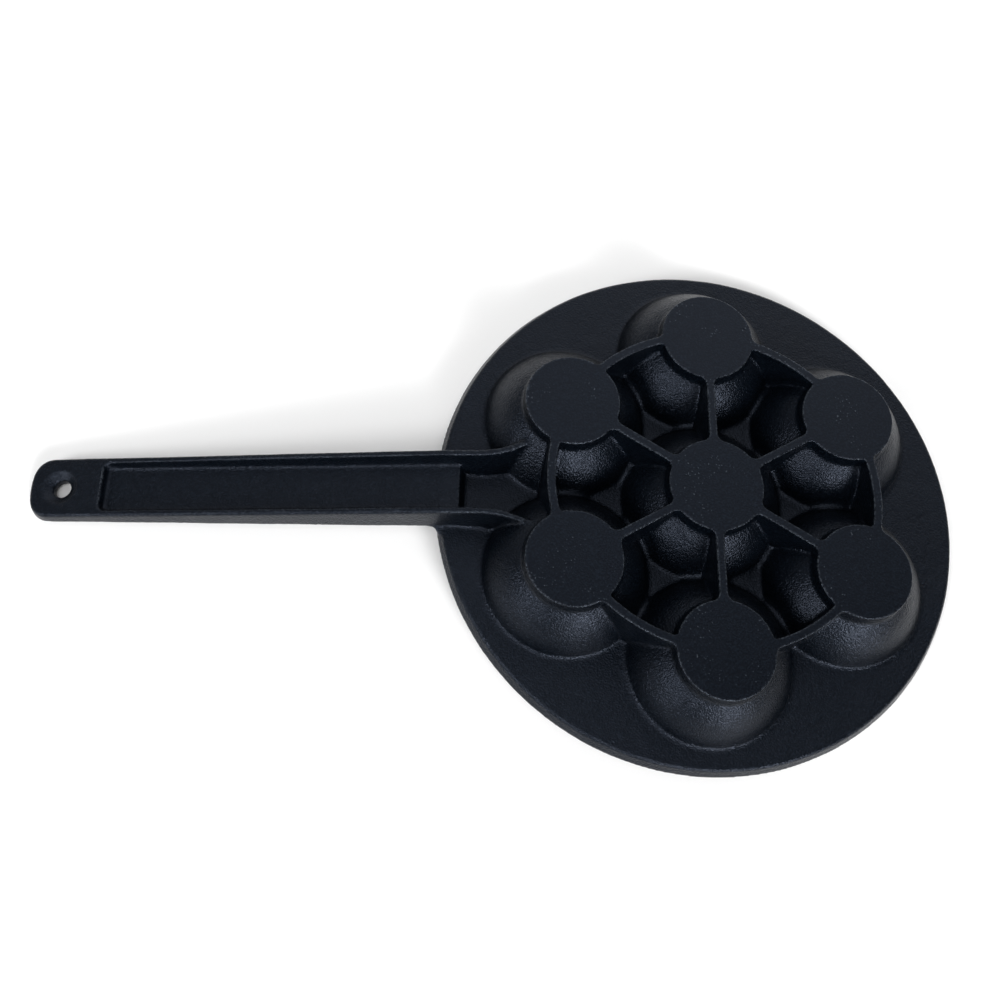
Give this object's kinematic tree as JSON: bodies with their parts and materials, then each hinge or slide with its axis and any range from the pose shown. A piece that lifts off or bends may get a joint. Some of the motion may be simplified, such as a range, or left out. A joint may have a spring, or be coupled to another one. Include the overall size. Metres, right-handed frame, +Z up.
{
  "type": "aebleskiver pan",
  "caption": "Black cast-iron pan with half-round wells in a round plate for filled pancake balls, webs under the wells and a channelled handle with a hanging hole.",
  "frame": {"origin": "bottom centre of the bounding box of the pan as it lies upside down, on the far edge of its plate and the end of its handle", "axes": "+X from the handle's end towards the plate's far rim, +Y across, +Z up through the undersides of the wells. The pan leans 3.2 degrees about +Y, far rim down. For use it is turned over, so that the ground faces of the wells rest on the stove."},
  "size_m": [0.3738, 0.2124, 0.0375],
  "materials": {
    "plate_iron": "matte black seasoned, sand-cast grain",
    "well_iron": "satin black seasoned, ground flat on the boss",
    "rib_iron": "satin black seasoned, sand-cast grain",
    "handle_iron": "satin black seasoned, sand-cast grain"
  },
  "bodies": {
    "root": {"griddle_plate": "plate_iron", "centre_well": "well_iron", "outer_well_1": "well_iron", "outer_well_2": "well_iron", "outer_well_3": "well_iron", "outer_well_4": "well_iron", "outer_well_5": "well_iron", "outer_well_6": "well_iron", "spoke_rib_1": "rib_iron", "spoke_rib_2": "rib_iron", "spoke_rib_3": "rib_iron", "spoke_rib_4": "rib_iron", "spoke_rib_5": "rib_iron", "spoke_rib_6": "rib_iron", "ring_rib_1": "rib_iron", "ring_rib_2": "rib_iron", "ring_rib_3": "rib_iron", "ring_rib_4": "rib_iron", "ring_rib_5": "rib_iron", "ring_rib_6": "rib_iron", "handle_end": "handle_iron", "handle_shank": "handle_iron", "handle_root": "handle_iron", "root_rail_1": "handle_iron", "root_rail_2": "handle_iron"}
  },
  "joints": []
}
